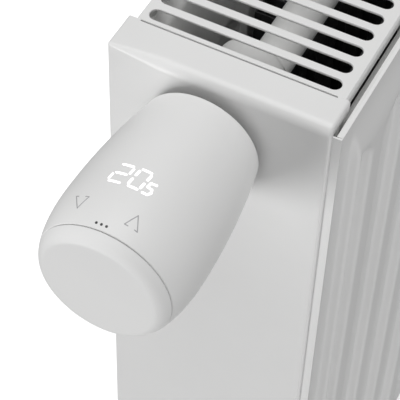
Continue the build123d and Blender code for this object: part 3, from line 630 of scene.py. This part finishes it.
def side_cover(node, side, holes):
    """A folded cover with its round holes, (height, radius) pairs, and the notch by the grille."""
    bm = cover_surface()
    if side > 0:
        bmesh.ops.scale(bm, vec=(-1, 1, 1), verts=bm.verts[:])
        bmesh.ops.reverse_faces(bm, faces=bm.faces[:])
    mesh = bpy.data.meshes.new(node + "_folded")
    bm.to_mesh(mesh)
    bm.free()
    piece = bpy.data.objects.new(node + "_folded", mesh)
    bpy.context.scene.collection.objects.link(piece)
    wall = piece.modifiers.new("wall", "SOLIDIFY")
    wall.thickness = COVER_SHEET
    wall.offset = -1.0
    wall.use_even_offset = True
    cutters = []
    for z, radius in holes:
        hole = bmesh.new()
        through = Matrix.Translation((side * RIGHT, HEAD_AXIS.y, z)) @ Matrix.Rotation(
            math.pi / 2, 4, "Y")
        bmesh.ops.create_cone(hole, cap_ends=True, segments=96, radius1=radius, radius2=radius,
                              depth=CUT_DEPTH, matrix=through)
        cutters.append(finish_mesh("cutter", hole))
    notch = bmesh.new()
    beside = Matrix.Translation((side * GRILLE_HIGH.x, (SLOT_REAR + SLOT_FRONT) / 2, TOP))
    size = (NOTCH_WIDTH, SLOT_REAR - SLOT_FRONT + NOTCH_PAST_SLOTS, CUT_DEPTH, 1)
    bmesh.ops.create_cube(notch, size=1.0, matrix=beside @ Matrix.Diagonal(size))
    cutters.append(finish_mesh("cutter", notch))
    for cutter in cutters:
        opening = piece.modifiers.new("opening", "BOOLEAN")
        opening.operation = "DIFFERENCE"
        opening.object = cutter
        opening.solver = "EXACT"
    settled = settle(piece, angle=40.0)
    for cutter in cutters:
        bpy.data.objects.remove(cutter)
    return settled


place(side_cover("left_side_cover", -1, [(HEAD_AXIS.z, NECK_HOLE), (-HEAD_AXIS.z, PLUG_HOLE)]),
      "radiator", "enamel", "left_side_cover")
place(side_cover("right_side_cover", 1, [(HEAD_AXIS.z, PLUG_HOLE), (-HEAD_AXIS.z, PLUG_HOLE)]),
      "radiator", "enamel", "right_side_cover")


# ---------------------------------------------------------------- thermostat head
HEAD_START = LEFT - SHELL_HIGH.x
HEAD_END = LEFT - CAP_LOW.x
HEAD_RADIUS = (SHELL_HIGH.z - SHELL_LOW.z) / 2
BASE_RADIUS = 24.3 * MM
FACE_RADIUS = 22.4 * MM
WIDEST = 57.6 * MM          # out from the cover, like the seam and the skirt below
SEAM = 77.3 * MM
SEAM_GAP = 0.3 * MM
SEAM_ROUND = 0.2 * MM
RIM_DROP = 1.2 * SEAM_ROUND
BASE_ROUND = 0.9 * MM
WALL = 2.0 * MM
CAP_SKIRT_START = 72.0 * MM
CAP_SKIRT_RADIUS = 24.0 * MM
CAP_SKIRT_WALL = 1.2 * MM
ROUND_SEGMENTS = 192
BARREL = ((WIDEST - HEAD_START) ** 2 + (HEAD_RADIUS - BASE_RADIUS) ** 2) / (
    2 * (HEAD_RADIUS - BASE_RADIUS))


def head_radius_at(out, inset=0.0):
    """The head's surface radius `out` from the cover: a slow barrel, then an elliptical edge."""
    if out <= WIDEST:
        return HEAD_RADIUS - BARREL + math.sqrt(BARREL ** 2 - (WIDEST - out) ** 2) - inset
    reach = HEAD_END - inset - WIDEST
    share = min(1.0, (out - WIDEST) / reach)
    return FACE_RADIUS - inset + (HEAD_RADIUS - FACE_RADIUS) * math.sqrt(1 - share * share)


def on_head(out, radius, angle):
    """A point round the head's axis: 0 degrees is towards the room and 90 is up."""
    turn = math.radians(angle)
    return Vector((LEFT - out, HEAD_AXIS.y - radius * math.cos(turn),
                   HEAD_AXIS.z + radius * math.sin(turn)))


def revolved(name, outline):
    """A closed outline of (out, radius) pairs turned round the head's axis."""
    bm = bmesh.new()
    rings = []
    for out, radius in outline:
        if radius < TOUCH:
            rings.append([bm.verts.new(on_head(out, 0, 0))])
        else:
            rings.append([bm.verts.new(on_head(out, radius, 360 * s / ROUND_SEGMENTS))
                          for s in range(ROUND_SEGMENTS)])
    closed = len(rings[0]) > 1 and len(rings[-1]) > 1
    pairs = list(zip(rings, rings[1:])) + ([(rings[-1], rings[0])] if closed else [])
    for ring, after in pairs:
        for s in range(ROUND_SEGMENTS):
            t = (s + 1) % ROUND_SEGMENTS
            corners = [ring[s % len(ring)], ring[t % len(ring)],
                       after[t % len(after)], after[s % len(after)]]
            unique = [v for k, v in enumerate(corners) if v not in corners[:k]]
            if len(unique) > 2:
                bm.faces.new(unique)
    return finish_mesh(name, bm, angle=30.0)


def barrel_line(start, end, steps, inset=0.0):
    """Outline points on the head's surface between two distances from the cover."""
    outs = [start + (end - start) * i / steps for i in range(steps + 1)]
    return [(out, head_radius_at(out, inset)) for out in outs]


def elliptical_line(start, end, steps, inset=0.0):
    """Outline points on the elliptical edge, evenly spaced by its angle."""
    reach = HEAD_END - inset - WIDEST
    first = math.asin(min(1.0, (start - WIDEST) / reach))
    last = math.asin(min(1.0, (end - WIDEST) / reach))
    turns = [first + (last - first) * i / steps for i in range(steps + 1)]
    outs = [WIDEST + reach * math.sin(turn) for turn in turns]
    return [(out, head_radius_at(out, inset)) for out in outs]


def shell_outline():
    """The shell's section: rounded foot, barrel, edge up to the seam, and the inside."""
    mouth = SEAM - SEAM_GAP / 2
    foot_end = HEAD_START + BASE_ROUND
    foot = arc((foot_end, head_radius_at(foot_end) - BASE_ROUND), BASE_ROUND, 180, 90, 6)
    outside = foot + barrel_line(foot_end, WIDEST, steps=40)[1:]
    outside += elliptical_line(WIDEST, mouth - SEAM_ROUND, steps=16)[1:]
    rim = head_radius_at(mouth) - RIM_DROP
    inside = [(mouth, rim), (mouth, rim - WALL + SEAM_ROUND)]
    inside += elliptical_line(WIDEST, mouth, steps=8, inset=WALL)[::-1][1:]
    inside += barrel_line(HEAD_START, WIDEST, steps=10, inset=WALL)[::-1][1:]
    return outside + inside


def cap_outline():
    """The end cap's section: the flat face, the edge down to the seam, and its skirt."""
    mouth = SEAM + SEAM_GAP / 2
    face = [(HEAD_END, FACE_RADIUS * share) for share in (0, 0.5, 0.85, 0.97)]
    edge = elliptical_line(mouth + SEAM_ROUND, HEAD_END, steps=22)[::-1]
    lip = [(mouth, head_radius_at(mouth) - RIM_DROP), (mouth, CAP_SKIRT_RADIUS)]
    skirt_inside = CAP_SKIRT_RADIUS - CAP_SKIRT_WALL
    tail = [(CAP_SKIRT_START, CAP_SKIRT_RADIUS), (CAP_SKIRT_START, skirt_inside),
            (HEAD_END - WALL, skirt_inside), (HEAD_END - WALL, 0)]
    return face + edge + lip + tail


place(revolved("head_shell_moulding", shell_outline()), "radiator", "head_plastic", "head_shell")
place(revolved("end_cap_moulding", cap_outline()), "end_cap", "cap_plastic", "end_cap")


# ---------------------------------------------------------------- lit digits and printed marks
MARK_LIFT = 0.03 * MM       # a mark stands this far out of the shell
MARK_ROOT = 0.15 * MM       # and starts this far inside it
LIT_WIDTH = 0.95 * MM
SMALL_LIT_WIDTH = 0.9 * MM
LINE_WIDTH = 0.38 * MM
DOT_WIDTH = 1.0 * MM
DOT_SPAN = 0.01             # degrees between a dot's two ends, almost none
DOT_OUT = 75.1 * MM
DOT_ANGLES = (98.3, 94.1, 90.0)
TIP_STEPS = 6
TIP_LEFT = 0.03             # share of the width that a stroke's tip keeps
# where each segment's ends are, across and down a digit
SEGMENTS = {"a": ((0.14, 0), (0.86, 0)), "b": ((1, 0.13), (1, 0.38)), "c": ((1, 0.62), (1, 0.87)),
            "d": ((0.14, 1), (0.86, 1)), "e": ((0, 0.62), (0, 0.87)), "f": ((0, 0.13), (0, 0.38)),
            "g": ((0.16, 0.5), (0.84, 0.5))}


def add_stroke(bm, start, end, width):
    """One round-ended stroke, a thin closed pad on the head; its ends are (out, angle) pairs."""
    radius = head_radius_at((start[0] + end[0]) / 2)
    first = Vector((start[0], math.radians(start[1]) * radius))
    last = Vector((end[0], math.radians(end[1]) * radius))
    length = (last - first).length
    along = (last - first).normalized()
    across = Vector((-along.y, along.x))
    half = width / 2
    turns = [math.pi / 2 * k / TIP_STEPS for k in range(TIP_STEPS)]
    tip = [(half * math.cos(t), half * max(TIP_LEFT, math.sin(t))) for t in turns]
    spans = max(1, round(length / MM))
    stations = [(-reach, spread) for reach, spread in tip]
    stations += [(length * k / spans, half) for k in range(spans + 1)]
    stations += [(length + reach, spread) for reach, spread in tip[::-1]]
    rows = []
    for reach, spread in stations:
        row = []
        for side, lift in ((-1, MARK_LIFT), (1, MARK_LIFT), (1, -MARK_ROOT), (-1, -MARK_ROOT)):
            spot = first + along * reach + across * spread * side
            surface = head_radius_at(spot.x) + lift
            row.append(bm.verts.new(on_head(spot.x, surface, math.degrees(spot.y / radius))))
        rows.append(row)
    bm.faces.new(rows[0])
    bm.faces.new(rows[-1])
    for row, after in zip(rows, rows[1:]):
        for k in range(4):
            bm.faces.new((row[k], row[(k + 1) % 4], after[(k + 1) % 4], after[k]))


def marks(name, strokes, width, material):
    """A group of strokes as one piece; each stroke is a line through (out, angle) points."""
    bm = bmesh.new()
    for stroke in strokes:
        for start, end in zip(stroke, stroke[1:]):
            add_stroke(bm, start, end, width)
    piece = finish_mesh(name, bm, angle=50.0)
    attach(piece, "radiator")
    piece.data.materials.append(material)


def digit(lit, left, right, top, bottom, slant):
    """Strokes of a digit's lit segments, between two angles and two distances out."""
    strokes = []
    for key in lit:
        stroke = []
        for x, y in SEGMENTS[key]:
            stroke.append((top + (bottom - top) * y, left + (right - left) * x + slant * y))
        strokes.append(stroke)
    return strokes


two = digit("abged", left=107.2, right=96.2, top=48.6 * MM, bottom=57.3 * MM, slant=1.9)
nought = digit("abcdef", left=91.9, right=83.0, top=48.3 * MM, bottom=57.2 * MM, slant=2.0)
half_degree = [[(51.9 * MM, 76.6), (52.3 * MM, 80.6), (54.3 * MM, 81.2), (54.5 * MM, 77.6),
                (55.9 * MM, 76.7), (57.3 * MM, 78.4), (57.4 * MM, 81.9)]]
marks("lit_two", two, LIT_WIDTH, LIT)
marks("lit_nought", nought, LIT_WIDTH, LIT)
marks("lit_half_degree", half_degree, SMALL_LIT_WIDTH, LIT)
down_mark = [(65.9 * MM, 123.6), (65.8 * MM, 126.0), (71.1 * MM, 119.0), (66.0 * MM, 114.2),
             (65.9 * MM, 117.2)]
up_mark = [(71.5 * MM, 77.3), (71.5 * MM, 79.9), (66.3 * MM, 75.2), (71.6 * MM, 69.5),
           (71.5 * MM, 71.8)]
marks("down_mark", [down_mark], LINE_WIDTH, PALE_INK)
marks("up_mark", [up_mark], LINE_WIDTH, PALE_INK)
marks("signal_dots", [[(DOT_OUT, angle), (DOT_OUT, angle + DOT_SPAN)] for angle in DOT_ANGLES],
      DOT_WIDTH, DARK_INK)

# ---------------------------------------------------------------- floor, light and camera
FLOOR_DROP = 0.12           # the radiator hangs this far over the floor
FLOOR_HALF = 6.0
FLOOR_GLOW = 0.45
WORLD_LIGHT = 0.27
floor_bm = bmesh.new()
bmesh.ops.create_grid(floor_bm, x_segments=2, y_segments=2, size=FLOOR_HALF)
floor = finish_mesh("floor", floor_bm)
floor.location.z = cad_box[0][2] - FLOOR_DROP
floor_material, floor_tree, floor_shader, floor_vector = node_material("floor")
floor_patches = noise(floor_tree, floor_vector, 3.0)
floor_tree.links.new(mixed(floor_tree, floor_patches, (0.93, 0.93, 0.93), (0.95, 0.95, 0.95)),
                     floor_shader.inputs["Base Color"])
floor_shader.inputs["Roughness"].default_value = 0.9
floor_shader.inputs["Emission Color"].default_value = (1, 1, 1, 1)
floor_shader.inputs["Emission Strength"].default_value = FLOOR_GLOW
floor.data.materials.append(floor_material)
# the floor only whitens the picture: it lights nothing, and light from below passes it
floor.visible_diffuse = False
floor.visible_glossy = False
floor.visible_shadow = False

world = bpy.data.worlds.new("studio")
world.use_nodes = True
backdrop = world.node_tree.nodes["Background"]
backdrop.inputs["Color"].default_value = (1.0, 1.0, 1.0, 1)
backdrop.inputs["Strength"].default_value = WORLD_LIGHT
bpy.context.scene.world = world
bpy.context.scene.view_settings.view_transform = "Standard"


def soft_sun(name, direction, strength, spread):
    """A broad, even light from a direction, `spread` degrees wide, like a far softbox."""
    light = bpy.data.lights.new(name, "SUN")
    light.energy = strength
    light.angle = math.radians(spread)
    lamp = bpy.data.objects.new(name, light)
    bpy.context.scene.collection.objects.link(lamp)
    lamp.rotation_euler = Vector(direction).to_track_quat("Z", "Y").to_euler()


soft_sun("overhead", direction=(-0.05, 0.05, 1.0), strength=1.75, spread=50)
soft_sun("low_side", direction=(-0.90, 0.42, -0.28), strength=1.35, spread=25)
soft_sun("front_fill", direction=(-0.15, -0.75, -0.60), strength=0.80, spread=50)

# the camera's place and turn, from the middle of the left cover's top edge
COVER_MIDDLE = Vector((LEFT, -53.1 * MM, TOP))
CAMERA_OFFSET = Vector((-0.387, -0.183, 0.4624))
HEADING = 64.07
PITCH_DOWN = 51.01
ROLL = -2.07
FOCAL = 154.86
SENSOR = 36.0
CLIP_START = 0.01
camera_data = bpy.data.cameras.new("camera")
camera_data.sensor_width = SENSOR
camera_data.lens = FOCAL
camera_data.clip_start = CLIP_START
camera = bpy.data.objects.new("camera", camera_data)
bpy.context.scene.collection.objects.link(camera)
camera.location = COVER_MIDDLE + CAMERA_OFFSET
heading, pitch, roll = (math.radians(a) for a in (HEADING, PITCH_DOWN, ROLL))
forward = Vector((math.sin(heading) * math.cos(pitch), math.cos(heading) * math.cos(pitch),
                  -math.sin(pitch)))
level = Vector((math.cos(heading), -math.sin(heading), 0))
down = forward.cross(level)
right = level * math.cos(roll) + down * math.sin(roll)
lower = -level * math.sin(roll) + down * math.cos(roll)
camera.rotation_euler = Matrix((right, -lower, -forward)).transposed().to_euler()
bpy.context.scene.camera = camera
